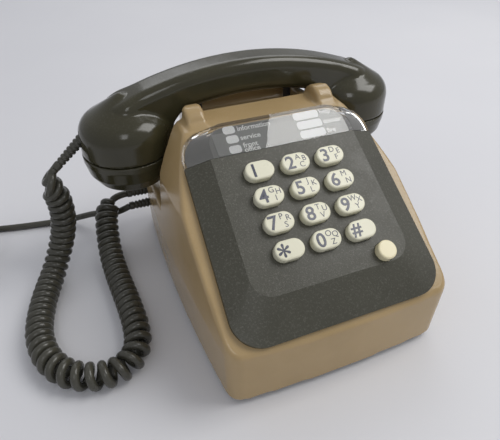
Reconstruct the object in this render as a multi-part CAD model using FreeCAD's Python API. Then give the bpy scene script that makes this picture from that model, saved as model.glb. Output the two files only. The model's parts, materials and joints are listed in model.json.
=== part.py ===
"""Push-button desk telephone with a curly handset cord and a coiled line cord.

Millimetres, +Z up, the front faces -Y, the handset lies along X.  Every function returns one named
node of the assembly; the table at the end lists them.
"""
import math
import os

import FreeCAD
import Part

V = FreeCAD.Vector
GAP = 0.3                               # clearance between pieces that move past each other

# ---- housing ----------------------------------------------------------------------------------
WALL = 2.8                              # plastic wall
HALF_W, HALF_D = 72.3, 95.6             # half width and half depth at the crease
SIDE_BOW, FRONT_BOW = 4.8, 2.8          # bulge of the sides and of the front between the corners
SKIRT_Z, CREASE_Z = 3.6, 39.2           # lower edge of the skirt; crease below the upper walls
SKIRT_INSET = 0.8                       # the skirt draws in by this much at its lower edge
CORNER_R = 9.0
TOP_Z, TOP_INSET = 126.0, 6.5           # draft of the upper walls
SHOULDER_R, SHOULDER_X, SHOULDER_Z = 84.4, -11.6, 57.0
SHOULDER_SPAN = 45.0                    # degrees of arc from the straight side to the neck
BRIDGE_Z = 112.6                        # top of the low wall in front of the cradle
CRADLE_Z = 99.0                         # floor of the cradle
CRADLE_Y = (41.0, 69.4)
NECK_FRONT, NECK_REAR = 47.5, 35.0      # half width of the neck in front and behind
PAD_X, PAD_Z = 37.0, 108.4              # the handset rests on pads outside PAD_X
HORN_TOP = 119.8
LUG_LEN, LUG_RISE = 20.0, 6.0           # front lugs of the cradle: length and height of their arch
REAR_TOP, REAR_LEN, REAR_RISE = 114.6, 12.0, 4.0
BOSS_X, BOSS_Y, BOSS_R = 56.0, 80.0, 6.0            # screw bosses in the corners of the base
FOOT_X, FOOT_Y, FOOT_H = 54.0, 82.0, 4.6            # rubber feet
PLATE_Z, SHEET_T = 4.6, 1.8             # underside and thickness of the base plate
DECK_Z = PLATE_Z + SHEET_T
RINGER_Y, RINGER_Z = 62.0, 30.0         # the two bells stand at this depth; their rims at this height
GONG_X, GONG_R, GONG_T = 24.5, 20.0, 1.4

# ---- sloping keypad face: local axes u across, v up the slope, n out of the face -----------------
SLOPE = 32.44
FACE_Y, FACE_Z = -43.15, 89.25          # centre of the key grid, at the level of the key tops
N_PLATEAU, N_EDGE, N_BODY = -4.5, -10.2, -13.0
PLATE_T = 3.0
PITCH_U, PITCH_V = 22.0, 15.79
KEY_LEN, KEY_WID = 17.0, 11.0
KEY_TRAVEL = 3.0
RECALL_UV, RECALL_R = (31.5, -38.4), 5.5
COVER_V = 37.6                          # lower edge of the clear index cover
N_BOARD = -20.6
SCREW_PLACES = [(u, v) for u in (-38.5, 38.5) for v in (-44.0, 31.5)]

# ---- handset -------------------------------------------------------------------------------------
HS_Y = 55.2                             # axis of the handset
CUP_X, CUP_R, CAP_R = 80.5, 28.6, 28.9
SEAM_Z = 88.0
HS_TOP_Z, HS_TOP_R = 137.2, 222.0       # crown of the handle and radius of its arch
GRIP_Z, GRIP_R = 115.5, 190.0           # underside of the handle and radius of its arch
GRIP_HALF, GRIP_END_R = 12.7, 15.5      # half width of the handle; its rounding where it meets the cups
GRIP_TIP = 13.0                         # the handle ends this far beyond the axis of a cup
GRIP_BLEND = 30.0                       # hollow curves between the handle and the cups
END_R = 14.0                            # rounding of the ends seen from the front
HANDLE_ROUND = 6.5                      # rounding of the handle's upper edges
CUP_TURN, CUP_PEAK = 62.8, 37.5         # degrees of rounding at a cup's rim; tip of its cone above the seam
# outline and inside of the screw-on caps, each point measured from the cap's radius and from the seam
CAP_OUTLINE = [(-12, -22), (-6.5, -19), (-2, -12), (-0.2, -4), (0, 0)]
CAP_INSIDE = [(-3.7, 0), (-3.7, -6), (-8, -16), (-13, -19)]
POCKET_R, POCKET_Z = 33.5, 57.0         # room beside the neck for the ends of the handset
HOOK_X, HOOK_R = 32.0, 2.6              # the two hook-switch plungers

# ---- cords ---------------------------------------------------------------------------------------
CURLY_YZ, LINE_YZ = (83.5, 34.4), (80.0, 25.0)      # where the two cords leave the left side
RELIEF_OUT = 84.0                       # distance of the relief tips from the centre plane
CURLY_D = 16.5                          # outer diameter of the curly cord
LINE_D = 4.8
CURLY_ROUTE = [(-84, 83.5, 34.4), (-94.5, 83.5, 34.4), (-102, 75.5, 27.5), (-105, 60.5, 18),
               (-106.3, 43.5, 10),
               (-105.4, 22, 8.6), (-103.8, -2, 8.4), (-103.2, -22.5, 8.4), (-104.9, -37.5, 8.4),
               (-111.5, -47.5, 8.4), (-122.5, -51.5, 8.4), (-136, -48.8, 8.4), (-148, -40.5, 8.4),
               (-156, -26.5, 8.4), (-159, -9.5, 8.4), (-157.3, 7, 8.4), (-152.3, 27, 8.4), (-145.5, 43, 10.5),
               (-138.5, 53, 20), (-132.5, 56, 34), (-129.5, 55.5, 49), (-130, 55.2, 64), (-134, 55.2, 76.2),
               (-126.8, 55.2, 82.5)]
LINE_ROUTE = [(-84, 80, 25), (-90, 80, 22.6), (-98, 86, 17.6), (-108, 95, 15), (-118, 103.5, 9),
              (-130, 110, 4), (-144, 114, 2.5), (-160, 116.5, 2.4), (-178, 120, 2.4), (-196, 124.5, 2.5),
              (-216, 126.8, 3.2)]
COIL_R, COIL_TURNS = 27.6, 3            # middle of the turns; turns across and turns high
COIL_X, COIL_Y, COIL_Z = -228.0, 94.0, 0.8


# ---- helpers -------------------------------------------------------------------------------------
def box(x0, x1, y0, y1, z0, z1):
    return Part.makeBox(x1 - x0, y1 - y0, z1 - z0, V(x0, y0, z0))


def cyl(x, y, z0, z1, r):
    return Part.makeCylinder(r, z1 - z0, V(x, y, z0))


def rod(start, end, r0, r1=None):
    a, b = V(*start), V(*end)
    axis = b - a
    if r1 is None:
        return Part.makeCylinder(r0, axis.Length, a, axis)
    return Part.makeCone(r0, r1, axis.Length, a, axis)


def union(shapes):
    first, rest = shapes[0], shapes[1:]
    return first.fuse(rest).removeSplitter() if rest else first


def group(shapes):
    return Part.makeCompound(shapes)


def polygon(points):
    vs = [V(*p) for p in points]
    return Part.Face(Part.makePolygon(vs + [vs[0]]))


def on_slope(shape):
    s = shape.copy()
    s.rotate(V(0, 0, 0), V(1, 0, 0), SLOPE)
    s.translate(V(0, FACE_Y, FACE_Z))
    return s


def slope_yz(v, n):
    a = math.radians(SLOPE)
    return (FACE_Y + v * math.cos(a) - n * math.sin(a), FACE_Z + v * math.sin(a) + n * math.cos(a))


def stadium(u, v, length, width, n0, n1):
    r = width / 2
    half = length / 2 - r
    mid = box(u - half, u + half, v - r, v + r, n0, n1)
    return union([mid, cyl(u - half, v, n0, n1, r), cyl(u + half, v, n0, n1, r)])


def rounded_wire(half_w, v0, v1, r_low, r_high, n):
    """Rounded rectangle in the plane at height n; half_w gives its half width at v0 and at v1."""
    w0, w1 = half_w
    q = math.sqrt(0.5)

    def corner(cx, cy, r, sx, sy):
        a, m, b = (cx + sx * r, cy), (cx + sx * r * q, cy + sy * r * q), (cx, cy + sy * r)
        return [V(p[0], p[1], n) for p in (a, m, b)]

    corners = [corner(w0 - r_low, v0 + r_low, r_low, 1, -1), corner(-w0 + r_low, v0 + r_low, r_low, -1, -1)[::-1],
               corner(-w1 + r_high, v1 - r_high, r_high, -1, 1), corner(w1 - r_high, v1 - r_high, r_high, 1, 1)[::-1]]
    edges = []
    for i, c in enumerate(corners):
        edges.append(Part.Arc(*c).toShape())
        edges.append(Part.LineSegment(c[2], corners[(i + 1) % 4][0]).toShape())
    return Part.Wire(edges)


def route_path(points):
    """Straight runs joined by tangent arcs, each as large as its two runs allow."""
    pts = [V(*p) for p in points]
    edges, radii, at = [], [], pts[0]
    for a, b, c in zip(pts, pts[1:], pts[2:]):
        inward, onward = b - a, c - b
        turn = inward.getAngle(onward)
        cut = 0.45 * min(inward.Length, onward.Length)
        radii.append(cut / math.tan(turn / 2))
        d0, d1 = V(inward).normalize(), V(onward).normalize()
        start, end = b - d0 * cut, b + d1 * cut
        towards = (d1 - d0).normalize()
        middle = b + towards * (radii[-1] / math.cos(turn / 2) - radii[-1])
        edges += [Part.LineSegment(at, start).toShape(), Part.Arc(start, middle, end).toShape()]
        at = end
    edges.append(Part.LineSegment(at, pts[-1]).toShape())
    return Part.Wire(edges), radii


def tube(name, points, diameter):
    path, radii = route_path(points)
    ring = Part.Wire(Part.makeCircle(diameter / 2, V(*points[0]), V(*points[1]) - V(*points[0])))
    shell = path.makePipeShell([ring], True, False)
    expected = math.pi * diameter ** 2 / 4 * path.Length
    print("%s: length %.0f mm, volume ratio %.4f, radii %s" % (
        name, path.Length, shell.Volume / expected, " ".join("%.0f" % r for r in radii)))
    return shell


# ---- housing -------------------------------------------------------------------------------------
def outline(inset, z):
    hw, hd = HALF_W - inset, HALF_D - inset
    cx, cy = hw - SIDE_BOW, hd - FRONT_BOW
    fl, fr, rr, rl = V(-cx, -cy, z), V(cx, -cy, z), V(cx, hd, z), V(-cx, hd, z)
    return Part.Wire([Part.Arc(fl, V(0, -hd, z), fr).toShape(), Part.Arc(fr, V(hw, 0, z), rr).toShape(),
                      Part.LineSegment(rr, rl).toShape(), Part.Arc(rl, V(-hw, 0, z), fl).toShape()])


def rounded_outline(inset, z, radius):
    """The footprint's outline at one height with its corners rounded."""
    slab = Part.Face(outline(inset, z)).extrude(V(0, 0, 1))
    ups = [e for e in slab.Edges if e.BoundBox.ZLength > 0.9]
    slab = slab.makeFillet(radius, ups)
    level = [f for f in slab.Faces if f.BoundBox.ZMax < z + 0.01]
    return level[0].OuterWire


def rounded_loft(levels, radius):
    """Solid through rounded outlines; levels are (inset, height) from the bottom up."""
    return Part.makeLoft([rounded_outline(inset, z, radius) for inset, z in levels], True, True)


def side_face():
    """Outline of the housing seen from the side: sloping face, bridge, cradle, rear wall."""
    top, low = slope_yz(61.0, N_BODY), slope_yz(-100.0, N_BODY)
    y0, y1 = CRADLE_Y
    pts = [(low[0], -10), low, top, (y0 - 2.5, BRIDGE_Z), (y0, CRADLE_Z), (y1, CRADLE_Z),
           (y1 + 2, BRIDGE_Z - 2), (y1 + 9, BRIDGE_Z - 4), (HALF_D - 2, 60), (HALF_D + 2, CREASE_Z),
           (HALF_D + 2, -10)]
    return polygon([(0, y, z) for y, z in pts])


def front_face(t):
    """Outline of the housing seen from the front, drawn in by t: straight sides, round shoulders."""
    r, span = SHOULDER_R - t, math.radians(SHOULDER_SPAN)

    def point(side, turn):
        return V(side * (SHOULDER_X + r * math.cos(turn)), 0, SHOULDER_Z + r * math.sin(turn))

    over_z, under_z = TOP_Z + 10, -10
    x_top, x_low = point(1, span).x, point(1, 0).x
    right = Part.Arc(point(1, 0), point(1, span / 2), point(1, span)).toShape()
    left = Part.Arc(point(-1, span), point(-1, span / 2), point(-1, 0)).toShape()
    over = Part.makePolygon([point(1, span), V(x_top, 0, over_z), V(-x_top, 0, over_z), point(-1, span)])
    under = Part.makePolygon([point(-1, 0), V(-x_low, 0, under_z), V(x_low, 0, under_z), point(1, 0)])
    return Part.Face(Part.Wire([right] + over.Edges + [left] + under.Edges))


def pocket(side, grow):
    """Room beside the neck for one end of the handset; grow takes the housing's wall into account."""
    z0, z1 = POCKET_Z - grow, TOP_Z + 14
    front, rear = NECK_FRONT - grow, NECK_REAR - grow
    y0, y1, out = HS_Y - 22, HALF_D + 5, 130
    scoop = cyl(side * CUP_X, HS_Y, z0, z1, POCKET_R + grow)
    plan = [(front, y0), (rear, y1), (out, y1), (out, HS_Y), (CUP_X, y0)]
    beside = polygon([(side * x, y, z0) for x, y in plan])
    return scoop.fuse(beside.extrude(V(0, 0, z1 - z0)))


def housing_block(t, z_low):
    body = rounded_loft([(SKIRT_INSET + t, z_low), (t, CREASE_Z), (TOP_INSET + t, TOP_Z)], CORNER_R - t)
    side = side_face()
    if t:
        side = side.makeOffset2D(-t, 2)
    side.translate(V(-100, 0, 0))
    front = front_face(t)
    front.translate(V(0, -120, 0))
    block = body.common(side.extrude(V(200, 0, 0))).common(front.extrude(V(0, 240, 0)))
    return block.cut(pocket(-1, t)).cut(pocket(1, t)).removeSplitter()


def horn(side):
    """One side of the cradle: arched front lug, pad under the handle, lower rear lug."""
    y0, y1 = CRADLE_Y
    foot_y, foot_z = slope_yz(58.0, N_BODY)
    x0, x1 = PAD_X, NECK_FRONT + 1.5

    def arch(y, top, length, rise):
        low = top - rise
        return Part.Arc(V(x0, y, low), V(x0, y + length / 2, top), V(x0, y + length, low)).toShape()

    front = arch(y0 - LUG_LEN, HORN_TOP, LUG_LEN, LUG_RISE)
    rear = arch(y1, REAR_TOP, REAR_LEN, REAR_RISE)
    low_z = CRADLE_Z - WALL
    under = [(foot_y, foot_z), (foot_y, low_z), (y1 + REAR_LEN, low_z), (y1 + REAR_LEN, REAR_TOP - REAR_RISE)]
    lines = [[(y0 - LUG_LEN, HORN_TOP - LUG_RISE)] + under,
             [(y0, HORN_TOP - LUG_RISE), (y0, PAD_Z), (y1, PAD_Z), (y1, REAR_TOP - REAR_RISE)]]
    edges = [front, rear]
    for line in lines:
        edges += Part.makePolygon([V(x0, y, z) for y, z in line]).Edges
    slab = Part.Face(Part.Wire(Part.sortEdges(edges)[0])).extrude(V(x1 - x0, 0, 0))
    slab = slab.cut(pocket(1, 0))
    if side < 0:
        slab = slab.mirror(V(0, 0, 0), V(1, 0, 0))
    return slab


def corners(x, y):
    return [(sx * x, sy * y) for sx in (-1, 1) for sy in (-1, 1)]


def housing():
    outer = housing_block(0, SKIRT_Z)
    inner = housing_block(WALL, SKIRT_Z - 1)
    shell = outer.cut(inner)
    boss_top = DECK_Z + 12.6
    bosses, holes = [], []
    for x, y in corners(BOSS_X, BOSS_Y):
        wall_x = math.copysign(HALF_W, x)
        rib = box(min(x, wall_x), max(x, wall_x), y - 1, y + 1, DECK_Z, boss_top)
        bosses += [cyl(x, y, DECK_Z, boss_top, BOSS_R).common(outer), rib.common(outer)]
        holes.append(cyl(x, y, 0, boss_top - 1, 1.7))
    shell = union([shell, horn(-1), horn(1)] + bosses)
    holes += [on_slope(box(-44.5, 44.5, -49.5, 36.5, -40, 0))]
    holes += [cyl(sx * HOOK_X, HS_Y, CRADLE_Z - 10, CRADLE_Z + 10, HOOK_R + GAP) for sx in (-1, 1)]
    holes += [rod((-90, y, z), (-50, y, z), 4.1) for y, z in (CURLY_YZ, LINE_YZ)]
    for h in holes:
        shell = shell.cut(h)
    return shell.removeSplitter()


def base_plate():
    inset = SKIRT_INSET + WALL + 0.5
    plate = rounded_loft([(inset, PLATE_Z), (inset, DECK_Z)], CORNER_R - WALL - 0.5)
    for x, y in corners(BOSS_X, BOSS_Y):
        plate = plate.cut(cyl(x, y, 0, 10, 1.8))
    for i in range(7):
        plate = plate.cut(stadium(-48, -30 + 10 * i, 26, 3, 0, 10))
    return plate


def rubber_feet():
    """Four feet, each open around the head of its base screw."""
    feet = []
    for (x, y), (screw_x, screw_y) in zip(corners(FOOT_X, FOOT_Y), corners(BOSS_X, BOSS_Y)):
        foot = Part.makeCone(6.6, 7.8, FOOT_H, V(x, y, 0))
        feet.append(foot.cut(cyl(screw_x, screw_y, 0, FOOT_H, 3.3)))
    return group(feet)


def base_screws():
    screws = []
    for x, y in corners(BOSS_X, BOSS_Y):
        slot = box(x - 2.4, x + 2.4, y - 0.4, y + 0.4, 3.3, 3.9)
        head = cyl(x, y, 3.4, PLATE_Z, 3.0).cut(slot)
        screws.append(union([head, cyl(x, y, PLATE_Z, 17, 1.6)]))
    return group(screws)


# ---- keypad face ---------------------------------------------------------------------------------
def face_block(shrink):
    """The raised face with its bevelled edges, as one block; shrink draws every surface in."""
    s = shrink
    low = rounded_wire((62.4 - s, 59.6 - s), -66.6 + s, 59.4 - s, 17 - s, 18 - s, N_BODY)
    rim = rounded_wire((62.4 - s, 59.6 - s), -66.6 + s, 59.4 - s, 17 - s, 18 - s, N_EDGE - s)
    top = rounded_wire((47.2 - s, 45.2 - s), -44.4 + s, 58.6 - s, 12 - s, 13 - s, N_PLATEAU - s)
    body = Part.makeLoft([low, rim], True, True)
    return body.fuse(Part.makeLoft([rim, top], True, True)).removeSplitter()


def key_places():
    return [((c - 1) * PITCH_U, (1.5 - r) * PITCH_V) for r in range(4) for c in range(3)]


def face_plate():
    plate = face_block(0).cut(box(-80, 80, COVER_V, 80, -20, 5))
    plate = plate.cut(box(-43.5, 43.5, -48.5, 35.5, -20, N_PLATEAU - PLATE_T))
    for u, v in key_places():
        plate = plate.cut(stadium(u, v, KEY_LEN + 2 * GAP, KEY_WID + 2 * GAP, -15, 0))
    u, v = RECALL_UV
    return on_slope(plate.cut(cyl(u, v, -15, 0, RECALL_R + GAP)))


def index_cover():
    skin = face_block(0).cut(face_block(1.8)).cut(box(-80, 80, -80, COVER_V + 0.15, -20, 5))
    return on_slope(skin)


def index_tray():
    tray = face_block(2.2).cut(box(-80, 80, -80, COVER_V + 0.3, -20, 5))
    return on_slope(tray)


def index_card():
    n = N_PLATEAU - 2.2
    return on_slope(box(-40, 40, COVER_V + 1.2, 53, n, n + 0.25))


def key_block(u, v, length, width, flange):
    """Cap, flange under the plate and stem; length equal to width makes a round button."""
    flange_n = N_PLATEAU - PLATE_T - 0.1
    if length > width:
        cap = stadium(u, v, length, width, flange_n, 0)
        foot = stadium(u, v, length + flange, width + flange, flange_n - 1.4, flange_n)
    else:
        cap = cyl(u, v, flange_n, 0, width / 2)
        foot = cyl(u, v, flange_n - 1.4, flange_n, (width + flange) / 2)
    rim = [e for e in cap.Edges if e.BoundBox.ZMin > -0.01]
    cap = cap.makeFillet(1.0, rim)
    stem = cyl(u, v, -15.0, flange_n - 1.4, 2.0)
    return on_slope(union([cap, foot, stem]))


def keypad_frame():
    ring = box(-43, 43, -48, 35, N_BOARD + 1.6, N_BODY + 0.2).cut(box(-40.5, 40.5, -46.5, 34, -30, 0))
    ears = [cyl(u, v, N_BOARD + 1.6, N_BODY + 4.6, 2.2).cut(cyl(u, v, -30, 0, 1.1))
            for u, v in SCREW_PLACES]
    return on_slope(union([ring] + ears))


def keypad_board():
    board = box(-43, 43, -48, 35, N_BOARD, N_BOARD + 1.6)
    for u, v in SCREW_PLACES:
        board = board.cut(cyl(u, v, -30, 0, 1.2))
    chips = [box(-12, 12, -20, -8, N_BOARD - 3.6, N_BOARD), box(-30, -22, 6, 22, N_BOARD - 3, N_BOARD)]
    return on_slope(union([board] + chips))


def contact_mat():
    n = N_BOARD + 1.6
    mat = [box(-34, 34, -33, 31, n, n + 0.5), cyl(RECALL_UV[0], RECALL_UV[1], n, n + 0.6, 4)]
    mat += [Part.makeCone(4.4, 3.0, 0.3, V(u, v, n + 0.5)) for u, v in key_places()]
    return on_slope(union(mat))


def keypad_screws():
    screws = []
    for u, v in SCREW_PLACES:
        head, thread = cyl(u, v, N_BOARD - 1.6, N_BOARD, 2.4), cyl(u, v, N_BOARD, N_BODY + 3, 1.0)
        screws.append(union([head, thread]))
    return on_slope(group(screws))


# ---- inside the housing --------------------------------------------------------------------------
def main_board():
    z = 13.0
    board = box(-52, 44, -72, -2, z, z + 1.6)
    posts = [cyl(x, y, DECK_Z, z, 2.5) for x in (-47, 39) for y in (-67, -7)]
    return union([board] + posts)


def transformer():
    core = box(-44, -18, -62, -38, 14.6, 32.6)
    bobbin = box(-39, -23, -66, -34, 17, 30)
    return union([core, bobbin])


def capacitors():
    z = 14.6
    return group([box(-8, 14, -64, -50, z, z + 12), cyl(25, -56, z, z + 14, 5), cyl(25, -40, z, z + 11, 4),
                  box(-8, 10, -42, -34, z, z + 10)])


def terminal_block():
    block = box(-57, -33, 2, 30, DECK_Z, 18)
    for i in range(4):
        block = block.cut(cyl(-50, 6 + 6 * i, 14, 20, 1.8)).cut(cyl(-39, 6 + 6 * i, 14, 20, 1.8))
    return block


def ringer_frame():
    base = box(-30, 30, 20, 66, DECK_Z, 8.4)
    posts = [cyl(s * GONG_X, RINGER_Y, 8.4, RINGER_Z + 11, 2.2) for s in (-1, 1)]
    yoke = box(-12, 12, 22, 27, 8.4, RINGER_Z + 12)
    return union([base, yoke] + posts)


def gong(side):
    x = side * GONG_X
    centre = V(x, RINGER_Y, RINGER_Z - 6)
    outer = Part.makeSphere(GONG_R, centre).common(cyl(x, RINGER_Y, RINGER_Z, 60, GONG_R))
    inner = Part.makeSphere(GONG_R - GONG_T, centre).common(cyl(x, RINGER_Y, RINGER_Z - 1, 60, GONG_R))
    bolt = cyl(x, RINGER_Y, RINGER_Z + 11, RINGER_Z + 16.5, 3)
    return union([outer.cut(inner), bolt])


def ringer_coil():
    return group([cyl(s * 7.5, 36.5, 8.4, RINGER_Z + 2, 6.2) for s in (-1, 1)])


def ringer_clapper():
    z = RINGER_Z + 6
    bar = box(-14, 14, 34, 39, z - 1.2, z + 1.2)
    hub = cyl(0, 36.5, z - 2.6, z + 2.6, 3)
    arm = rod((0, 39, z), (0, RINGER_Y - 4, z), 0.9)
    ball = Part.makeSphere(4.5, V(0, RINGER_Y, z))
    return union([bar, hub, arm, ball])


def clapper_pivot():
    z = RINGER_Z + 6
    pin = cyl(0, 36.5, z + 2.6 + GAP, z + 10, 3)
    arm = box(-4, 4, 24, 39.5, z + 6, z + 8)
    return union([pin, arm])


def hook_bracket():
    wall = box(-14, 14, 46.5, 48.3, 48, 82)
    hang = [box(s * 30 - 3, s * 30 + 3, 46.5, 48.3, 78, CRADLE_Z - WALL) for s in (-1, 1)]
    bar = box(-33, 33, 46.5, 48.3, 76, 82)
    return union([wall, bar] + hang)


def hook_switch():
    return box(-11, 11, 48.3, 62, 60, 79)


def hook_plungers():
    under = GRIP_Z - GRIP_R + math.sqrt(GRIP_R ** 2 - HOOK_X ** 2) - GAP
    pins = []
    for s in (-1, 1):
        pin = cyl(s * HOOK_X, HS_Y, 84, under - 1.2, HOOK_R)
        tip = Part.makeCone(HOOK_R, HOOK_R - 1.2, 1.0, V(s * HOOK_X, HS_Y, under - 1.2))
        pins += [pin, tip]
    bar = box(-HOOK_X - 1, HOOK_X + 1, HS_Y - 3, HS_Y + 3, 84, 88)
    stem = cyl(0, HS_Y, 79.3, 84, 1.8)
    return union([bar, stem] + pins)


# ---- handset -------------------------------------------------------------------------------------
def end_centre():
    """Centre (x, z) of the rounding at the right end of the handset."""
    x = CUP_X + CUP_R - END_R
    return x, HS_TOP_Z - HS_TOP_R + math.sqrt((HS_TOP_R - END_R) ** 2 - x ** 2)


def handset_front_face():
    """Outline of the handset seen from the front, from the seam of the caps up."""
    zc = HS_TOP_Z - HS_TOP_R
    x_out = CUP_X + CUP_R
    cx, cz = end_centre()
    top = V(cx, 0, cz - zc).normalize() * HS_TOP_R + V(0, 0, zc)
    half_turn = (math.atan2(cz - zc, cx)) / 2
    mid = V(cx + END_R * math.cos(half_turn), 0, cz + END_R * math.sin(half_turn))
    gz = GRIP_Z - GRIP_R
    x_in = CUP_X - CUP_R
    x_under = x_in - 9
    under = V(x_under, 0, gz + math.sqrt(GRIP_R ** 2 - x_under ** 2))
    bend = V(x_in - 2.2, 0, SEAM_Z + 19)

    def m(p):
        return V(-p.x, 0, p.z)

    side, foot = V(x_out, 0, cz), V(x_out, 0, SEAM_Z)
    inner, wall = V(x_in, 0, SEAM_Z), V(x_in, 0, SEAM_Z + 11)
    edges = [Part.Arc(m(top), V(0, 0, HS_TOP_Z), top), Part.Arc(top, mid, side), Part.LineSegment(side, foot),
             Part.LineSegment(foot, inner), Part.LineSegment(inner, wall), Part.Arc(wall, bend, under),
             Part.Arc(under, V(0, 0, GRIP_Z), m(under)), Part.Arc(m(under), m(bend), m(wall)),
             Part.LineSegment(m(wall), m(inner)), Part.LineSegment(m(inner), m(foot)),
             Part.LineSegment(m(foot), m(side)), Part.Arc(m(side), m(mid), m(top))]
    return Part.Face(Part.Wire([e.toShape() for e in edges]))


def handset_plan_face():
    """Outline of the handle seen from above: it widens into the cups by hollow curves."""
    blend, r = GRIP_BLEND, GRIP_END_R
    cy = GRIP_HALF + blend
    dx = math.sqrt((r + blend) ** 2 - cy ** 2)
    cx = CUP_X - dx
    tx, ty = CUP_X - dx * r / (r + blend), cy * r / (r + blend)
    a0, a1 = -math.pi / 2, math.atan2(ty - cy, tx - cx)
    am = (a0 + a1) / 2
    mx, my = cx + blend * math.cos(am), cy + blend * math.sin(am)
    edges = []
    for s in (1, -1):
        a, b, c, d = (cx, GRIP_HALF), (mx, my), (tx, ty), (CUP_X + GRIP_TIP, 0)
        p = [V(s * x, s * y, 0) for x, y in (a, b, c, d)]
        q = [V(s * x, -s * y, 0) for x, y in (c, b, a)]
        edges += [Part.Arc(p[0], p[1], p[2]), Part.Arc(p[2], p[3], q[0]), Part.Arc(q[0], q[1], q[2]),
                  Part.LineSegment(q[2], V(-s * cx, -s * GRIP_HALF, 0))]
    return Part.Face(Part.Wire([e.toShape() for e in edges]))


def cup(side):
    """One round end of the handset: a drum with its rim rounded like the outline, under a low cone."""
    r, z = CUP_R - END_R, end_centre()[1]

    def p(out, up):
        return V(side * CUP_X + out, HS_Y, up)

    def on_rim(degrees):
        t = math.radians(degrees)
        return p(r + END_R * math.cos(t), z + END_R * math.sin(t))

    centre, foot, peak = p(0, SEAM_Z), p(CUP_R, SEAM_Z), p(0, SEAM_Z + CUP_PEAK)
    low, mid, high = on_rim(0), on_rim(CUP_TURN / 2), on_rim(CUP_TURN)
    edges = [Part.LineSegment(centre, foot), Part.LineSegment(foot, low), Part.Arc(low, mid, high),
             Part.LineSegment(high, peak), Part.LineSegment(peak, centre)]
    half = Part.Face(Part.Wire([e.toShape() for e in edges]))
    return half.revolve(centre, V(0, 0, 1), 360)


def handset_axis(distance):
    """Point on the axis of the sleeve that the curly cord leaves the handset through."""
    tip = V(*CURLY_ROUTE[-1])
    along = (tip - V(*CURLY_ROUTE[-2])).normalize()
    return tip + along * distance


def handset_body():
    front = handset_front_face()
    front.translate(V(0, HS_Y - 40, 0))
    front = front.extrude(V(0, 80, 0))
    plan = handset_plan_face()
    plan.translate(V(0, HS_Y, SEAM_Z))
    handle = plan.extrude(V(0, 0, 80)).common(front)
    rim = [e for e in handle.Edges if e.BoundBox.XLength > 8 and e.CenterOfMass.z > SEAM_Z + 22]
    handle = handle.makeFillet(HANDLE_ROUND, rim)
    body = union([handle] + [cup(s) for s in (-1, 1)])
    for s in (-1, 1):
        body = body.cut(cyl(s * CUP_X, HS_Y, SEAM_Z - 1, SEAM_Z + 14, 24.5))
    a, b = handset_axis(12), handset_axis(30)
    return body.cut(rod(tuple(a), tuple(b), 3.4))


def cap(side, holes):
    """Round screw-on cap under one cup; holes are (radius, count) rings."""
    x = side * CUP_X
    z = SEAM_Z
    bottom, ceiling = CAP_OUTLINE[0][1], CAP_INSIDE[-1][1]
    pts = [(-CAP_R, bottom)] + CAP_OUTLINE + CAP_INSIDE + [(-CAP_R, ceiling)]
    solid = polygon([(x + CAP_R + a, HS_Y, z + b) for a, b in pts]).revolve(V(x, HS_Y, 0), V(0, 0, 1), 360)
    for radius, count in holes:
        for k in range(count):
            t = 2 * math.pi * k / count
            solid = solid.cut(cyl(x + radius * math.cos(t), HS_Y + radius * math.sin(t), z - 30, z - 15, 1.2))
    return solid


def capsule(side, radius, height):
    x = side * CUP_X
    z = SEAM_Z - 12
    return union([cyl(x, HS_Y, z, z + height, radius), cyl(x, HS_Y, z + height, z + height + 3, radius - 6)])


def handset_relief():
    """Tapered sleeve where the curly cord enters the outer side of the transmitter end."""
    tip, root, head = (tuple(handset_axis(d)) for d in (GAP, 26, 29))
    return union([rod(tip, root, 2.6, 3.4), rod(root, head, 3.4)])


# ---- cords ---------------------------------------------------------------------------------------
def base_relief(place, tip_r):
    y, z = place
    sleeve = rod((-60, y, z), (-RELIEF_OUT, y, z), 3.9, tip_r)
    return union([sleeve, rod((-58.5, y, z), (-60, y, z), 4.3)])


def line_cord_coil():
    w = COIL_TURNS * LINE_D
    z0, z1 = COIL_Z, COIL_Z + w
    ring = cyl(COIL_X, COIL_Y, z0, z1, COIL_R + w / 2).cut(cyl(COIL_X, COIL_Y, z0 - 1, z1 + 1, COIL_R - w / 2))
    return ring.makeFillet(LINE_D / 2 - 0.2, [e for e in ring.Edges if len(e.Vertexes) == 1])


def coil_tie():
    w = COIL_TURNS * LINE_D
    x0, x1 = COIL_X - 4, COIL_X + 4
    y0, y1 = COIL_Y - COIL_R - w / 2 - 0.8, COIL_Y - COIL_R + w / 2 + 0.8
    outer = box(x0, x1, y0, y1 + 0.2, 0, COIL_Z + w + 0.8)
    return outer.cut(line_cord_coil())


def line_plug():
    """Flat wall plug lying on the coil, four blades at one end and the cord at the other."""
    x, y, z = COIL_X, COIL_Y, COIL_Z + COIL_TURNS * LINE_D + 0.9
    body = box(x - 17, x + 17, y - 12, y + 12, z, z + 16)
    body = body.makeFillet(3, [e for e in body.Edges if e.BoundBox.ZLength > 10])
    blades = [box(x - 29, x - 16, y - 8.6 + 5.0 * i, y - 6.4 + 5.0 * i, z + 4, z + 11) for i in range(4)]
    sleeve = rod((x + 16, y, z + 7), (x + 30, y, z + 7), 4.2, 2.9)
    return union([body, sleeve] + blades)


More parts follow.
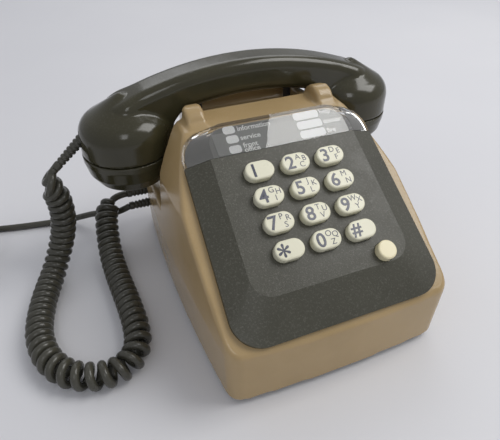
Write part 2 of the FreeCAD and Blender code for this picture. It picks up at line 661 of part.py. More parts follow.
NODES = {
    "housing": housing, "base_plate": base_plate, "rubber_feet": rubber_feet, "base_screws": base_screws,
    "face_plate": face_plate, "index_cover": index_cover, "index_tray": index_tray, "index_card": index_card,
    "keypad_frame": keypad_frame, "keypad_board": keypad_board, "contact_mat": contact_mat,
    "keypad_screws": keypad_screws, "main_board": main_board, "transformer": transformer,
    "capacitors": capacitors, "terminal_block": terminal_block, "ringer_frame": ringer_frame,
    "ringer_coil": ringer_coil, "gong_left": lambda: gong(-1), "gong_right": lambda: gong(1),
    "ringer_clapper": ringer_clapper, "clapper_pivot": clapper_pivot, "hook_bracket": hook_bracket,
    "hook_switch": hook_switch, "hook_plungers": hook_plungers, "handset_body": handset_body,
    "transmitter_cap": lambda: cap(-1, [(0, 1), (6, 6), (11, 12)]),
    "receiver_cap": lambda: cap(1, [(0, 1), (7, 8)]),
    "transmitter_capsule": lambda: capsule(-1, 22, 12), "receiver_capsule": lambda: capsule(1, 22, 14),
    "handset_relief": handset_relief, "relief_curly_cord": lambda: base_relief(CURLY_YZ, 2.9),
    "relief_line_cord": lambda: base_relief(LINE_YZ, 3.0),
    "curly_cord": lambda: tube("curly_cord", CURLY_ROUTE, CURLY_D),
    "line_cord": lambda: tube("line_cord", LINE_ROUTE, LINE_D),
    "line_cord_coil": line_cord_coil, "coil_tie": coil_tie, "line_plug": line_plug,
}
KEY_NAMES = ["key_1", "key_2", "key_3", "key_4", "key_5", "key_6", "key_7", "key_8", "key_9", "key_star", "key_0",
             "key_hash"]


def export_all():
    os.makedirs("parts", exist_ok=True)
    made = {name: make() for name, make in NODES.items()}
    for name, (u, v) in zip(KEY_NAMES, key_places()):
        made[name] = key_block(u, v, KEY_LEN, KEY_WID, 2.2)
    made["recall_button"] = key_block(RECALL_UV[0], RECALL_UV[1], 2 * RECALL_R, 2 * RECALL_R, 1.0)
    for name, shape in made.items():
        shape.exportStep("parts/%s.step" % name)
        if not shape.isValid() or shape.Volume <= 0:
            print("check", name)
    return made


if __name__ == "__main__":
    export_all()
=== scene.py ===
"""Looks of the push-button desk telephone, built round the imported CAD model. Lengths are in metres."""

import json
import math

import bmesh
import bpy
import numpy as np
from mathutils import Matrix, Vector
from mathutils.bvhtree import BVHTree


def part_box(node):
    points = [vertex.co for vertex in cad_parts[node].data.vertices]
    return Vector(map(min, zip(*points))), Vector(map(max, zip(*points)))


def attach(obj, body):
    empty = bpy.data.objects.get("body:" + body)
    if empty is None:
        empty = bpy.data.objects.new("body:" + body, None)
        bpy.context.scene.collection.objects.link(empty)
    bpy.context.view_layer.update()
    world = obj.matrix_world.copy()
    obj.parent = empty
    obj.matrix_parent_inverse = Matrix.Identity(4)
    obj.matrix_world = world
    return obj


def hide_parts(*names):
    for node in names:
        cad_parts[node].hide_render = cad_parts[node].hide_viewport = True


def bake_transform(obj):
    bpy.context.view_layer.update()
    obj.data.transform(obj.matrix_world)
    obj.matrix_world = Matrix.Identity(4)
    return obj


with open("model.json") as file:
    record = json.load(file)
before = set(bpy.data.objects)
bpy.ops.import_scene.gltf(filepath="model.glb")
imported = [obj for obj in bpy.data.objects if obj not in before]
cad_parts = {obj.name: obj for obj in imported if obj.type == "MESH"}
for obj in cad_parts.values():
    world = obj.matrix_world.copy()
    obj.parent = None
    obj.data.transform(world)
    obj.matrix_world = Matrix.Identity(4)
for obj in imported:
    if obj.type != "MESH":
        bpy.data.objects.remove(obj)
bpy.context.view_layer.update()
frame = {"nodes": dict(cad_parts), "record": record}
nodes = frame["nodes"]
MM = 0.001

# ---- places shared with the part's source --------------------------------------------------------
SLOPE = math.radians(32.44)             # angle of the keypad face above the table
FACE_ORIGIN = Vector((0, -43.15, 89.25)) * MM   # centre of the key grid at the height of the key tops
PITCH_U, PITCH_V = 22.0 * MM, 15.79 * MM
N_CARD = -6.43 * MM                     # just above the printed card, below the clear cover
CURLY_D, WIRE_D, LINE_D = 16.8 * MM, 5.1 * MM, 4.8 * MM
CLOSE_PITCH, OPEN_PITCH = 5.4 * MM, 2.2 * MM    # pitch of the curly cord, and how much it opens at the front
LEAD_BASE, LEAD_HANDSET = 12.0 * MM, 5.0 * MM   # straight leads at the curly cord's two ends
FIRST_TURN, LOOSE_TIP = math.radians(90), math.radians(66)      # place and tip of the turn by the handset
CURLY_ROUTE = [(-0.084, 0.0835, 0.0344), (-0.0945, 0.0835, 0.0344), (-0.102, 0.0755, 0.0275),
               (-0.105, 0.0605, 0.018), (-0.1063, 0.0435, 0.010), (-0.1054, 0.022, 0.0086),
               (-0.1038, -0.002, 0.0084), (-0.1032, -0.0225, 0.0084), (-0.1049, -0.0375, 0.0084),
               (-0.1115, -0.0475, 0.0084), (-0.1225, -0.0515, 0.0084), (-0.136, -0.0488, 0.0084),
               (-0.148, -0.0405, 0.0084), (-0.156, -0.0265, 0.0084), (-0.159, -0.0095, 0.0084),
               (-0.1573, 0.007, 0.0084), (-0.1523, 0.027, 0.0084), (-0.1455, 0.043, 0.0105),
               (-0.1385, 0.053, 0.020), (-0.1325, 0.056, 0.034), (-0.1295, 0.0555, 0.049),
               (-0.130, 0.0552, 0.064), (-0.134, 0.0552, 0.0762), (-0.1268, 0.0552, 0.0825)]
LINE_ROUTE = [(-0.084, 0.080, 0.025), (-0.090, 0.080, 0.0226), (-0.098, 0.086, 0.0176),
              (-0.108, 0.095, 0.015), (-0.118, 0.1035, 0.009), (-0.130, 0.110, 0.004),
              (-0.144, 0.114, 0.0025), (-0.160, 0.1165, 0.0024), (-0.178, 0.120, 0.0024),
              (-0.196, 0.1245, 0.0025), (-0.216, 0.1268, 0.0032)]
COIL_CENTRE = Vector((-0.228, 0.094, 0.0008))
COIL_R, COIL_ACROSS, COIL_HIGH = 27.6 * MM, 3, 3
COIL_END = [(-0.2495, 0.0850, 0.0128), (-0.2430, 0.0760, 0.0130), (-0.2330, 0.0708, 0.0142),
            (-0.2215, 0.0710, 0.0165), (-0.2100, 0.0738, 0.0192), (-0.1980, 0.0730, 0.0205),
            (-0.1865, 0.0722, 0.0185), (-0.1795, 0.0785, 0.0180), (-0.1795, 0.0890, 0.0200),
            (-0.1860, 0.0942, 0.0222), (-0.1930, 0.0940, 0.0231), (-0.2000, 0.0940, 0.0231),
            (-0.2060, 0.0940, 0.0231)]
TURN_POINTS, TURN_CUT = 14, 10          # points in each put-away turn; points the last turn leaves out


def on_face(u, v, n):
    """A point given along the keypad face: u to the right, v up the slope, n out of it."""
    return FACE_ORIGIN + Vector((u, v * math.cos(SLOPE) - n * math.sin(SLOPE),
                                 v * math.sin(SLOPE) + n * math.cos(SLOPE)))


FACE_TURN = Matrix.Rotation(SLOPE, 4, "X")


# ---- camera, floor and light ---------------------------------------------------------------------
CAMERA_LENS, CAMERA_PLACE = 35.0, (-0.1144, -0.2308, 0.2424)
CAMERA_TURN = (52.32, -0.06, -22.56)    # degrees


def make_camera():
    data = bpy.data.cameras.new("camera")
    data.sensor_width, data.lens = 36.0, CAMERA_LENS
    data.clip_start, data.clip_end = 0.01, 50
    camera = bpy.data.objects.new("camera", data)
    camera.location = CAMERA_PLACE
    camera.rotation_euler = [math.radians(a) for a in CAMERA_TURN]
    bpy.context.scene.collection.objects.link(camera)
    bpy.context.scene.camera = camera


def link(obj):
    bpy.context.scene.collection.objects.link(obj)
    return obj


def mesh_object(name, verts, faces, smooth=True):
    mesh = bpy.data.meshes.new(name)
    mesh.from_pydata([tuple(v) for v in verts], [], faces)
    mesh.update()
    mesh.polygons.foreach_set("use_smooth", [smooth] * len(mesh.polygons))
    return link(bpy.data.objects.new(name, mesh))


def area_light(name, place, target, size, power, colour=(1, 1, 1)):
    data = bpy.data.lights.new(name, "AREA")
    data.shape = "RECTANGLE"
    data.size, data.size_y = size
    data.energy, data.color = power, colour
    lamp = link(bpy.data.objects.new(name, data))
    lamp.location = place
    lamp.rotation_euler = (Vector(target) - Vector(place)).to_track_quat("-Z", "Y").to_euler()


def make_light():
    world = bpy.data.worlds.new("studio")
    world.use_nodes = True
    back = world.node_tree.nodes["Background"]
    back.inputs["Color"].default_value = (0.93, 0.945, 1.0, 1)
    back.inputs["Strength"].default_value = 0.45
    bpy.context.scene.world = world
    area_light("overhead_right", (0.84, -0.22, 1.15), (0.05, 0, 0), (0.75, 0.85), 9.5, (1.0, 0.99, 0.97))
    area_light("backdrop", (0.45, 1.30, 1.15), (0, 0.05, 0.1), (1.6, 0.8), 5.5, (0.97, 0.98, 1.0))
    area_light("window", (-0.35, -1.1, 1.25), (0, 0, 0.08), (0.38, 0.6), 2.0, (0.97, 0.98, 1.0))


# ---- materials -----------------------------------------------------------------------------------
class Shader:
    """A node material with small helpers; everything is mapped in the object's own coordinates."""

    def __init__(self, name):
        self.material = bpy.data.materials.new(name)
        self.material.use_nodes = True
        self.tree = self.material.node_tree
        self.bsdf = self.tree.nodes["Principled BSDF"]
        self.coords = self.tree.nodes.new("ShaderNodeTexCoord").outputs["Object"]

    def link(self, source, target):
        self.tree.links.new(source, target)

    def set(self, **values):
        for key, value in values.items():
            self.bsdf.inputs[key.replace("_", " ")].default_value = value

    def noise(self, size, detail=3.0, roughness=0.55, stretch=None):
        """Noise whose features are about that many metres across."""
        tex = self.tree.nodes.new("ShaderNodeTexNoise")
        tex.inputs["Scale"].default_value = 1 / size
        tex.inputs["Detail"].default_value = detail
        tex.inputs["Roughness"].default_value = roughness
        source = self.coords
        if stretch:
            mapping = self.tree.nodes.new("ShaderNodeMapping")
            mapping.inputs["Scale"].default_value = stretch
            self.link(self.coords, mapping.inputs["Vector"])
            source = mapping.outputs["Vector"]
        self.link(source, tex.inputs["Vector"])
        return tex.outputs["Fac"]

    def between(self, value, low, high, start=0.35, stop=0.65):
        """The value's middle range spread from low to high."""
        ranged = self.tree.nodes.new("ShaderNodeMapRange")
        ranged.inputs["From Min"].default_value = start
        ranged.inputs["From Max"].default_value = stop
        ranged.inputs["To Min"].default_value = low
        ranged.inputs["To Max"].default_value = high
        self.link(value, ranged.inputs["Value"])
        return ranged.outputs["Result"]

    def mix(self, factor, first, second):
        """Mixes two colours; either may be a colour or another node's output."""
        node = self.tree.nodes.new("ShaderNodeMix")
        node.data_type = "RGBA"
        self.link(factor, node.inputs["Factor"])
        for place, colour in (("A", first), ("B", second)):
            socket = [s for s in node.inputs if s.name == place and s.type == "RGBA"][0]
            if isinstance(colour, tuple):
                socket.default_value = (*colour, 1)
            else:
                self.link(colour, socket)
        return [s for s in node.outputs if s.type == "RGBA"][0]

    def bump(self, height, distance, strength=1.0, normal=None):
        node = self.tree.nodes.new("ShaderNodeBump")
        node.inputs["Distance"].default_value = distance
        node.inputs["Strength"].default_value = strength
        self.link(height, node.inputs["Height"])
        if normal:
            self.link(normal, node.inputs["Normal"])
        return node.outputs["Normal"]

    def facing_up(self, low=0.3, high=0.95):
        """1 where the surface faces up, as dust settles."""
        geometry = self.tree.nodes.new("ShaderNodeNewGeometry")
        split = self.tree.nodes.new("ShaderNodeSeparateXYZ")
        self.link(geometry.outputs["Normal"], split.inputs["Vector"])
        return self.between(split.outputs["Z"], 0, 1, low, high)

    def times(self, first, second):
        node = self.tree.nodes.new("ShaderNodeMath")
        node.operation = "MULTIPLY"
        self.link(first, node.inputs[0])
        if isinstance(second, float):
            node.inputs[1].default_value = second
        else:
            self.link(second, node.inputs[1])
        return node.outputs["Value"]


DUST = (0.5, 0.48, 0.43)


def moulded(name, light, dark, roughness, grain=0.0006, depth=0.00002, dust=0.08, spread=0.06):
    """Moulded plastic: two close tints in soft clouds, fine grain, uneven gloss and a trace of dust."""
    s = Shader(name)
    clouds = s.between(s.noise(0.035, 4), 0, 1)
    colour = s.mix(clouds, dark, light)
    specks = s.between(s.noise(0.0011, 2, 0.7), 0, dust, 0.52, 0.72)
    dusted = s.times(specks, s.facing_up())
    s.link(s.mix(dusted, colour, DUST), s.bsdf.inputs["Base Color"])
    s.link(s.between(s.noise(0.012, 4, 0.6), roughness - spread / 2, roughness + spread, 0.3, 0.7),
           s.bsdf.inputs["Roughness"])
    fine = s.bump(s.noise(grain, 2, 0.6), depth)
    s.link(s.bump(s.noise(0.022, 1, 0.4), 0.00025, 0.35, fine), s.bsdf.inputs["Normal"])
    s.set(Coat_Weight=0.0, Coat_Roughness=0.08, IOR=1.5)
    return s.material


def metal(name, light, dark, roughness, brushed=(1, 1, 1)):
    """Plated or bright metal with fine brushing and a little tarnish."""
    s = Shader(name)
    tarnish = s.between(s.noise(0.009, 4, 0.65), 0, 1, 0.42, 0.72)
    s.link(s.mix(tarnish, light, dark), s.bsdf.inputs["Base Color"])
    lines = s.noise(0.0012, 3, 0.6, brushed)
    s.link(s.between(lines, roughness - 0.07, roughness + 0.1), s.bsdf.inputs["Roughness"])
    s.link(s.bump(lines, 0.00001), s.bsdf.inputs["Normal"])
    s.set(Metallic=1.0)
    return s.material


def clear_cover():
    """Clear polished plastic with faint scratches."""
    s = Shader("clear_cover")
    scratches = s.noise(0.0012, 3, 0.7, (1, 14, 14))
    s.link(s.between(scratches, 0.01, 0.10, 0.60, 0.80), s.bsdf.inputs["Roughness"])
    s.link(s.bump(s.noise(0.02, 2), 0.00004), s.bsdf.inputs["Normal"])
    s.link(s.mix(s.between(s.noise(0.02, 3), 0, 1), (0.99, 0.99, 0.985), (0.965, 0.97, 0.97)),
           s.bsdf.inputs["Base Color"])
    s.set(Transmission_Weight=1.0, IOR=1.45)
    return s.material


def circuit_board():
    """Brown laminate with darker conductor tracks."""
    s = Shader("circuit_board")
    wave = s.tree.nodes.new("ShaderNodeTexWave")
    wave.inputs["Scale"].default_value = 160
    wave.inputs["Distortion"].default_value = 6
    s.link(s.coords, wave.inputs["Vector"])
    tracks = s.between(wave.outputs["Fac"], 0, 1, 0.55, 0.7)
    weave = s.mix(s.between(s.noise(0.0008, 2), 0, 1), (0.20, 0.11, 0.035), (0.28, 0.17, 0.06))
    s.link(s.mix(tracks, weave, (0.33, 0.24, 0.12)), s.bsdf.inputs["Base Color"])
    s.link(s.between(s.noise(0.005, 3), 0.35, 0.55), s.bsdf.inputs["Roughness"])
    s.link(s.bump(tracks, 0.00003), s.bsdf.inputs["Normal"])
    return s.material


def floor_finish():
    s = Shader("floor_finish")
    clouds = s.between(s.noise(0.5, 3), 0, 1)
    s.link(s.mix(clouds, (0.70, 0.70, 0.725), (0.73, 0.73, 0.75)), s.bsdf.inputs["Base Color"])
    s.link(s.between(s.noise(0.1, 3), 0.55, 0.7), s.bsdf.inputs["Roughness"])
    s.link(s.bump(s.noise(0.002, 3), 0.00005), s.bsdf.inputs["Normal"])
    s.set(Specular_IOR_Level=0.25)
    return s.material


HOUSING = moulded("housing_plastic", (0.43, 0.305, 0.15), (0.39, 0.275, 0.13), 0.2, spread=0.05)
DARK = moulded("handset_plastic", (0.044, 0.040, 0.0195), (0.036, 0.033, 0.016), 0.15, depth=0.000008,
               dust=0.04, spread=0.05)
PLATE = moulded("face_plastic", (0.056, 0.054, 0.037), (0.048, 0.046, 0.031), 0.40, grain=0.00055,
                depth=0.00009, dust=0.15, spread=0.08)
KEY = moulded("key_plastic", (0.80, 0.775, 0.60), (0.76, 0.735, 0.56), 0.26, depth=0.000006, dust=0.03)
ROUND = moulded("round_button_plastic", (0.86, 0.78, 0.52), (0.82, 0.74, 0.48), 0.22, depth=0.000006,
                dust=0.03)
LEGEND = moulded("legend_ink", (0.045, 0.05, 0.085), (0.035, 0.04, 0.07), 0.16, depth=0.000006, dust=0.0)
CORD = moulded("cord_sheath", (0.062, 0.060, 0.046), (0.050, 0.048, 0.037), 0.24, depth=0.00001, dust=0.05)
RUBBER = moulded("rubber", (0.022, 0.022, 0.022), (0.015, 0.015, 0.015), 0.6, depth=0.00005)
TRAY = moulded("tray_plastic", (0.20, 0.195, 0.18), (0.18, 0.175, 0.16), 0.5, depth=0.00003)
CARD = moulded("card_stock", (0.30, 0.30, 0.28), (0.27, 0.27, 0.25), 0.62, grain=0.0009, depth=0.00002)
LABEL = moulded("card_white", (0.95, 0.95, 0.93), (0.91, 0.91, 0.89), 0.6, grain=0.0009, depth=0.00002,
                dust=0.02)
PRINT = moulded("card_print", (0.92, 0.92, 0.89), (0.87, 0.87, 0.84), 0.6, grain=0.0005, depth=0.00001,
                dust=0.02)
INNER = moulded("component_plastic", (0.035, 0.035, 0.04), (0.022, 0.022, 0.026), 0.4)
PLUG = moulded("plug_plastic", (0.075, 0.072, 0.056), (0.060, 0.058, 0.045), 0.32)
STEEL = metal("bright_steel", (0.62, 0.61, 0.60), (0.42, 0.41, 0.40), 0.28, (1, 8, 8))
SHEET = metal("plated_sheet", (0.48, 0.48, 0.46), (0.33, 0.33, 0.32), 0.38, (8, 1, 8))
BELL = metal("bell_metal", (0.66, 0.62, 0.52), (0.45, 0.41, 0.33), 0.22, (6, 6, 1))
BRASS = metal("blade_brass", (0.72, 0.57, 0.30), (0.50, 0.38, 0.20), 0.25, (1, 8, 8))
CLEAR = clear_cover()
BOARD = circuit_board()
SLOT_FINISH = {"housing_plastic": HOUSING, "dark_plastic": DARK, "face_plastic": PLATE, "key_plastic": KEY,
               "clear_plastic": CLEAR, "tray_plastic": TRAY, "card": CARD, "steel_sheet": SHEET,
               "steel": STEEL,
               "rubber": RUBBER, "board": BOARD, "parts_plastic": INNER, "bell": BELL, "cord": CORD,
               "plug_plastic": PLUG}


def finish_with(obj, material):
    obj.data.materials.clear()
    obj.data.materials.append(material)
    return obj


def dress_cad_nodes():
    for row in frame["record"]["subparts"]:
        finish_with(nodes[row["node"]], SLOT_FINISH[row["material_slot"]])
    finish_with(nodes["recall_button"], ROUND)


# ---- cords ---------------------------------------------------------------------------------------
def nurbs(name, points):
    curve = bpy.data.curves.new(name, "CURVE")
    curve.dimensions = "3D"
    curve.resolution_u = 16
    spline = curve.splines.new("NURBS")
    spline.points.add(len(points) - 1)
    for place, point in zip(spline.points, points):
        place.co = (*point, 1)
    spline.order_u = 3
    spline.use_endpoint_u = True
    return curve


def spline_points(points, step):
    """Points every step along the route's smooth spline, as a numpy array."""
    curve = nurbs("route", points)
    bare = bpy.data.objects.new("route", curve)
    mesh = bpy.data.meshes.new_from_object(bare)
    line = np.array([v.co for v in mesh.vertices])
    bpy.data.meshes.remove(mesh)
    bpy.data.curves.remove(curve)
    along = np.concatenate([[0], np.cumsum(np.linalg.norm(np.diff(line, axis=0), axis=1))])
    at = np.linspace(0, along[-1], int(round(along[-1] / step)) + 1)
    return np.stack([np.interp(at, along, line[:, k]) for k in range(3)], axis=1), at


def directions(line):
    d = np.gradient(line, axis=0)
    return d / np.linalg.norm(d, axis=1)[:, None]


def carried_frames(line, first_side):
    """Side directions carried along the line without twisting."""
    ahead = directions(line)
    side = np.array(first_side, float)
    sides = []
    for t in ahead:
        side = side - t * (side @ t)
        side /= np.linalg.norm(side)
        sides.append(side.copy())
    sides = np.array(sides)
    return ahead, sides, np.cross(ahead, sides)


def tube_mesh(name, line, radius, ring=10):
    """A round tube with capped ends round a line; radius is one number or one for each point."""
    radius = np.broadcast_to(np.asarray(radius, float), (len(line),))
    _, sides, ups = carried_frames(line, (0.31, 0.52, 0.79))
    turn = np.linspace(0, 2 * math.pi, ring, endpoint=False)
    rings = (line[:, None] + radius[:, None, None] * (np.cos(turn)[None, :, None] * sides[:, None]
                                                      + np.sin(turn)[None, :, None] * ups[:, None]))
    verts = rings.reshape(-1, 3)
    faces = [(i * ring + k, i * ring + (k + 1) % ring, (i + 1) * ring + (k + 1) % ring, (i + 1) * ring + k)
             for i in range(len(line) - 1) for k in range(ring)]
    last = (len(line) - 1) * ring
    faces += [tuple(range(ring))[::-1], tuple(last + k for k in range(ring))]
    return mesh_object(name, verts, faces)


def smooth_step(x):
    x = np.clip(x, 0, 1)
    return x * x * (3 - 2 * x)


def helix_line():
    """Centreline of the curly cord's wire, from the base to the handset."""
    line, at = spline_points(CURLY_ROUTE, 0.0004)
    total = at[-1]
    from_end = total - at
    ahead, sides, ups = carried_frames(line, (0, 0, 1))
    # the turns open up on the table at the front of the loop, where the cord bends round
    front = np.exp(-((line[:, 1] + 0.045) / 0.022) ** 2)
    pitch = CLOSE_PITCH + OPEN_PITCH * front
    step = at[1] - at[0]
    turns = np.cumsum(step / pitch * (at > LEAD_BASE))
    turns -= turns[-1]
    angle = 2 * math.pi * turns + FIRST_TURN
    opening = smooth_step((at - LEAD_BASE) / 0.006) * smooth_step((from_end - LEAD_HANDSET) / 0.005)
    reach = (CURLY_D - WIRE_D) / 2 * opening
    # the turn next to the handset hangs open, tipped towards the side
    tip = LOOSE_TIP * smooth_step(1 - (from_end - 0.010) / 0.011)
    around = (np.cos(angle)[:, None] * sides
              + np.sin(angle)[:, None] * (np.cos(tip)[:, None] * ups + np.sin(tip)[:, None] * ahead))
    return line + reach[:, None] * around


def thin_line(line, step):
    """The line again with points about step apart."""
    along = np.concatenate([[0], np.cumsum(np.linalg.norm(np.diff(line, axis=0), axis=1))])
    at = np.linspace(0, along[-1], int(along[-1] / step) + 1)
    return np.stack([np.interp(at, along, line[:, k]) for k in range(3)], axis=1), along[-1]


def make_curly_cord():
    line, length = thin_line(helix_line(), 0.0016)
    cord = finish_with(tube_mesh("curly_cord_wire", line, WIRE_D / 2, 12), CORD)
    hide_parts("curly_cord")
    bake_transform(cord)


def coil_turns():
    """Points of the put-away turns: out and in across each layer, one layer on another."""
    points = []
    start = math.radians(90)
    lanes = [COIL_R + (1 - k) * LINE_D for k in range(COIL_ACROSS)]
    radii, heights = [], []
    for layer in range(COIL_HIGH):
        for r in (lanes if layer % 2 == 0 else lanes[::-1]):
            radii.append(r)
            heights.append(COIL_CENTRE.z + (layer + 0.5) * LINE_D)
    for k in range(len(radii)):
        for j in range(TURN_POINTS):
            share = smooth_step((j - TURN_POINTS + 4) / 4) if k + 1 < len(radii) else 0
            r = radii[k] + share * (radii[min(k + 1, len(radii) - 1)] - radii[k])
            z = heights[k] + share * (heights[min(k + 1, len(radii) - 1)] - heights[k])
            turn = start + 2 * math.pi * (j + 1) / TURN_POINTS
            points.append((COIL_CENTRE.x + r * math.cos(turn), COIL_CENTRE.y + r * math.sin(turn), z))
    return points


def make_line_cord():
    points = LINE_ROUTE + coil_turns()[:-TURN_CUT] + COIL_END
    curve = nurbs("line_cord_sheath", points)
    curve.bevel_depth, curve.bevel_resolution, curve.use_fill_caps = LINE_D / 2, 4, True
    curve.resolution_u = 8
    cord = link(bpy.data.objects.new("line_cord_sheath", curve))
    cord.data.materials.append(CORD)
    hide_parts("line_cord", "line_cord_coil")
    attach(cord, "base")
    length = thin_line(spline_points(points, 0.001)[0], 0.001)[1]
    print("line cord length", round(length, 3))


RELIEF_ROOT_X, RIBS = -60.0 * MM, 9      # inner ends of the base's sleeves; rings on each sleeve


def ribbed_sleeve(name, node, start, end, r_start, r_end, ribs, body):
    """Strain relief: a tapered sleeve with raised rings, in place of its CAD node."""
    start, end = Vector(start), Vector(end)
    count = ribs * 8
    share = np.linspace(0, 1, count + 1)
    line = np.array(start)[None] + share[:, None] * np.array(end - start)[None]
    radius = r_start + (r_end - r_start) * share
    ripple = 0.5 - 0.5 * np.cos(2 * math.pi * share * ribs)
    radius = radius - 0.0007 * smooth_step(ripple * 1.6 - 0.5) * ((share > 0.12) & (share < 0.95))
    radius[0] *= 0.86
    sleeve = finish_with(tube_mesh(name, line, radius, 24), CORD)
    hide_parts(node)
    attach(sleeve, body)


def make_reliefs():
    for cord, tip, tip_r in (("curly_cord", CURLY_ROUTE[0], 0.0031), ("line_cord", LINE_ROUTE[0], 0.0029)):
        root = (RELIEF_ROOT_X, tip[1], tip[2])
        ribbed_sleeve("relief_" + cord + "_sleeve", "relief_" + cord, tip, root, tip_r, 0.0040, RIBS, "base")
    tip, before = Vector(CURLY_ROUTE[-1]), Vector(CURLY_ROUTE[-2])
    along = (tip - before).normalized()
    ribbed_sleeve("handset_relief_sleeve", "handset_relief", tip + along * 0.0003, tip + along * 0.028,
                  0.0027, 0.0036, RIBS, "handset")


def rounded_block(name, low, high, bevel, segments=4):
    """A box with all its edges rounded."""
    low, high = Vector(low), Vector(high)
    bm = bmesh.new()
    bmesh.ops.create_cube(bm, size=1)
    for v in bm.verts:
        v.co = Vector(low[k] if v.co[k] < 0 else high[k] for k in range(3))
    bmesh.ops.bevel(bm, geom=bm.edges[:] + bm.verts[:], offset=bevel, segments=segments, profile=0.5,
                    affect="EDGES", clamp_overlap=True)
    mesh = bpy.data.meshes.new(name)
    bm.to_mesh(mesh)
    bm.free()
    mesh.polygons.foreach_set("use_smooth", [True] * len(mesh.polygons))
    return link(bpy.data.objects.new(name, mesh))


def joined(name, parts):
    """One object from several, with their materials."""
    bm = bmesh.new()
    mesh = bpy.data.meshes.new(name)
    for part in parts:
        index = len(mesh.materials)
        mesh.materials.append(part.data.materials[0])
        before = len(bm.faces)
        bm.from_mesh(part.data)
        bm.faces.ensure_lookup_table()
        for face in bm.faces[before:]:
            face.material_index = index
        old = part.data
        bpy.data.objects.remove(part)
        bpy.data.meshes.remove(old)
    bm.to_mesh(mesh)
    bm.free()
    return link(bpy.data.objects.new(name, mesh))


PLUG_HALF, BLADES, GRIPS = 17.0 * MM, 4, 5
BLADE_STEP, BLADE_LOW, BLADE_HIGH = 5.0 * MM, -8.6 * MM, -6.4 * MM


def row_of_blocks(count, low, high, step, bevel, material):
    """Rounded blocks repeated by a step."""
    blocks = []
    for k in range(count):
        shift = k * Vector(step)
        block = rounded_block("block", Vector(low) + shift, Vector(high) + shift, bevel, 2)
        blocks.append(finish_with(block, material))
    return blocks


def make_plug():
    low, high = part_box("line_plug")
    x, y = COIL_CENTRE.x, COIL_CENTRE.y
    bottom, top = low.z, high.z
    block = rounded_block("shell", (x - PLUG_HALF, low.y, bottom), (x + PLUG_HALF, high.y, top), 0.0026)
    shell = finish_with(block, PLUG)
    grips = row_of_blocks(GRIPS, (x - 0.010, low.y - 0.0004, bottom + 0.003),
                          (x - 0.0075, high.y + 0.0004, top - 0.003), (0.005, 0, 0), 0.0004, PLUG)
    screw_line = np.array([(x, y, top - 0.002), (x, y, top + 0.0002)])
    screw = finish_with(tube_mesh("screw", screw_line, 0.003, 24), STEEL)
    share = np.linspace(0, 1, 49)
    line = np.stack([x + 0.016 + 0.0138 * share, np.full(49, y), np.full(49, bottom + 0.007)], axis=1)
    ripple = smooth_step((0.5 - 0.5 * np.cos(2 * math.pi * share * 5)) * 1.6 - 0.5)
    sleeve = finish_with(tube_mesh("sleeve", line, 0.0042 - 0.0011 * share - 0.0005 * ripple, 24), PLUG)
    body = joined("plug_shell", [shell, screw, sleeve] + grips)
    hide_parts("line_plug")
    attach(body, "base")
    blades = row_of_blocks(BLADES, (x - 0.029, y + BLADE_LOW, bottom + 0.004),
                           (x - 0.016, y + BLADE_HIGH, bottom + 0.011), (0, BLADE_STEP, 0), 0.0005, BRASS)
    blades = joined("plug_blades", blades)
    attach(blades, "base")


# ---- softened copies of moulded parts ------------------------------------------------------------
def softened(name, node, voxel, rounds, most_faces=None):
    """A finely meshed copy of a CAD node with its sharp edges rounded over, as a moulding has them."""
    source = nodes[node]
    copy = link(bpy.data.objects.new(name, source.data.copy()))
    weld = copy.modifiers.new("weld", "WELD")
    weld.merge_threshold = 1e-6
    remesh = copy.modifiers.new("remesh", "REMESH")
    remesh.mode, remesh.voxel_size, remesh.adaptivity = "VOXEL", voxel, 0.0
    evaluated = copy.evaluated_get(bpy.context.evaluated_depsgraph_get())
    mesh = bpy.data.meshes.new_from_object(evaluated)
    mesh.name = name
    old = copy.data
    copy.modifiers.clear()
    copy.data = mesh
    bpy.data.meshes.remove(old)
    count = len(mesh.vertices)
    places = np.empty(count * 3)
    mesh.vertices.foreach_get("co", places)
    places = places.reshape(-1, 3)
    edges = np.empty(len(mesh.edges) * 2, np.int64)
    mesh.edges.foreach_get("vertices", edges)
    a, b = edges.reshape(-1, 2).T
    uses = np.bincount(np.concatenate([a, b]), minlength=count)[:, None]
    smooth = places.copy()
    for _ in range(rounds):
        total = np.stack([np.bincount(a, smooth[b, k], count) + np.bincount(b, smooth[a, k], count)
                          for k in range(3)], axis=1)
        smooth = 0.4 * smooth + 0.6 * total / uses
    tree = BVHTree.FromPolygons([v.co for v in source.data.vertices],
                                [tuple(p.vertices) for p in source.data.polygons])
    surface = np.array([tree.find_nearest(Vector(p))[0] for p in smooth])
    away = np.linalg.norm(surface - smooth, axis=1)[:, None]
    keep = smooth_step((away / voxel - 0.10) / 0.25)
    smooth = keep * smooth + (1 - keep) * surface
    mesh.vertices.foreach_set("co", smooth.ravel())
    mesh.update()
    mesh.polygons.foreach_set("use_smooth", [True] * len(mesh.polygons))
    if most_faces and 2 * len(mesh.polygons) > most_faces:
        thin = copy.modifiers.new("thin", "DECIMATE")
        thin.ratio = most_faces / (2 * len(mesh.polygons))
    return copy


def make_softened():
    for name, node, voxel, rounds, finish, body, most in (
            ("housing_shell", "housing", 0.0009, 9, HOUSING, "base", 190000),
            ("handset_shell", "handset_body", 0.0008, 12, DARK, "handset", 190000),
            ("transmitter_cap_shell", "transmitter_cap", 0.0005, 3, DARK, "handset", 120000),
            ("receiver_cap_shell", "receiver_cap", 0.0005, 3, DARK, "handset", 120000)):
        piece = softened(name, node, voxel, rounds, most)
        finish_with(piece, finish)
        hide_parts(node)
        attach(piece, body)


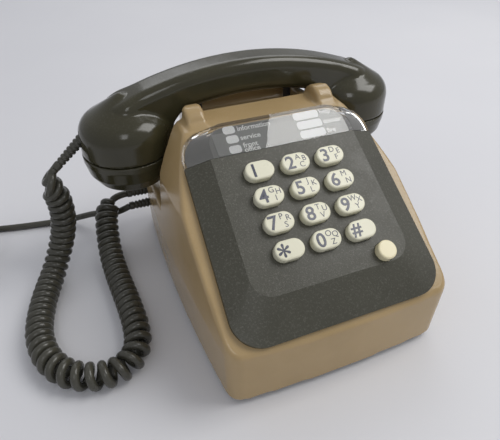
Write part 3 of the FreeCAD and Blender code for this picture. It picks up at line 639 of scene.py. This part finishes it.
# ---- legends and card ----------------------------------------------------------------------------
def lettering(name, text, size, place, material, height=0.00006, thicken=0.0, round_edge=0.0):
    """Text in the built-in font laid on the sloping face, its middle at place, as a mesh."""
    curve = bpy.data.curves.new(name, "FONT")
    curve.body, curve.size = text, size
    curve.align_x, curve.align_y = "CENTER", "CENTER"
    curve.extrude, curve.offset, curve.bevel_depth = height / 2, thicken, round_edge
    curve.resolution_u = 6
    bare = bpy.data.objects.new(name, curve)
    mesh = bpy.data.meshes.new_from_object(bare)
    bpy.data.objects.remove(bare)
    low = [min(v.co[k] for v in mesh.vertices) for k in range(2)]
    high = [max(v.co[k] for v in mesh.vertices) for k in range(2)]
    middle = Vector(((low[0] + high[0]) / 2, (low[1] + high[1]) / 2, 0))
    mesh.transform(Matrix.Translation(place) @ FACE_TURN @ Matrix.Translation(-middle))
    return finish_with(link(bpy.data.objects.new(name, mesh)), material)


LEGENDS = {"1": "", "2": "ABC", "3": "DEF", "4": "GHI", "5": "JKL", "6": "MN", "7": "PRS", "8": "TUV",
           "9": "WXY", "star": "", "0": "OQZ", "hash": ""}
SIGNS = {"star": ("*", 16.275 * MM), "hash": ("#", 10.5 * MM)}
DIGIT_SIZE, LETTER_SIZE = 11.0 * MM, 4.7 * MM
SIGN_SHIFT, INK_LIFT = -3.6 * MM, 0.02 * MM      # the sign left of a key's middle; ink above its top
THREE_PLACES = [(1.6, 2.7), (5.4, 1.3), (3.1, -2.3)]
TWO_PLACES = [(2.6, 2.6), (4.2, -2.0)]


def make_legends():
    for index, (key, letters) in enumerate(LEGENDS.items()):
        row, column = divmod(index, 3)
        u, v = (column - 1) * PITCH_U, (1.5 - row) * PITCH_V
        text, size = SIGNS.get(key, (key, DIGIT_SIZE))
        parts = [lettering("sign", text, size, on_face(u + SIGN_SHIFT, v, INK_LIFT), LEGEND, thicken=0.00012,
                           round_edge=0.00008)]
        places = THREE_PLACES if len(letters) == 3 else TWO_PLACES
        for letter, (du, dv) in zip(letters, places):
            place = on_face(u + du * MM, v + dv * MM, INK_LIFT)
            parts.append(lettering("letter", letter, LETTER_SIZE, place, LEGEND, height=0.0001))
        piece = joined("legend_" + key, parts)
        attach(piece, "button_" + key)


def label_box(name, u, v, length, width):
    """A small white rounded field printed on the card."""
    steps = 8
    r = width * 0.36
    outline = []
    for cx, cy, first in ((1, 1, 0), (-1, 1, 90), (-1, -1, 180), (1, -1, 270)):
        for k in range(steps + 1):
            turn = math.radians(first + 90 * k / steps)
            outline.append(on_face(u + cx * (length / 2 - r) + r * math.cos(turn),
                                   v + cy * (width / 2 - r) + r * math.sin(turn), N_CARD))
    lift = on_face(0, 0, 0.00004) - on_face(0, 0, 0)
    n = len(outline)
    faces = [tuple(range(n)), tuple(range(2 * n - 1, n - 1, -1))]
    faces += [(k, n + k, n + (k + 1) % n, (k + 1) % n) for k in range(n)]
    verts = [p + lift for p in outline] + outline
    return finish_with(mesh_object(name, verts, faces, False), LABEL)


SHORT_FIELD, LONG_FIELD, FIELD_WIDTH, WORD_SIZE = 7.3 * MM, 16.5 * MM, 5.0 * MM, 4.4 * MM
SHORT_FIELDS = [(-29.3, 54.0), (-29.0, 47.8), (-29.3, 41.3)]
LONG_FIELDS = [(20.1, 54.3), (20.4, 48.0), (20.3, 41.7)]
CARD_WORDS = [("information", -24.2, 53.9), ("service", -24.2, 47.7), ("front", -24.2, 42.8),
              ("office", -24.2, 39.9), ("help", 29.6, 54.2), ("doctor", 29.6, 47.9), ("fire", 29.6, 41.6)]


def make_card_print():
    fields = [label_box("field", u * MM, v * MM, SHORT_FIELD, FIELD_WIDTH) for u, v in SHORT_FIELDS]
    fields += [label_box("field", u * MM, v * MM, LONG_FIELD, FIELD_WIDTH) for u, v in LONG_FIELDS]
    for text, u, v in CARD_WORDS:
        place = on_face(u * MM, v * MM, N_CARD)
        word = lettering("word", text, WORD_SIZE, place, PRINT, height=0.00004, thicken=0.00008)
        width = max((p.co.x for p in word.data.vertices)) - min((p.co.x for p in word.data.vertices))
        word.data.transform(Matrix.Translation((width / 2, 0, 0)))
        fields.append(word)
    piece = joined("card_print", fields)
    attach(piece, "base")


# ---- the scene -----------------------------------------------------------------------------------
def make_floor():
    floor = mesh_object("floor", [(-4, -4, 0), (4, -4, 0), (4, 4, 0), (-4, 4, 0)], [(0, 1, 2, 3)], False)
    finish_with(floor, floor_finish())


bpy.context.scene.view_settings.view_transform = "Standard"
make_camera()
dress_cad_nodes()
make_reliefs()
make_plug()
make_curly_cord()
make_line_cord()
make_softened()
make_legends()
make_card_print()
make_floor()
make_light()
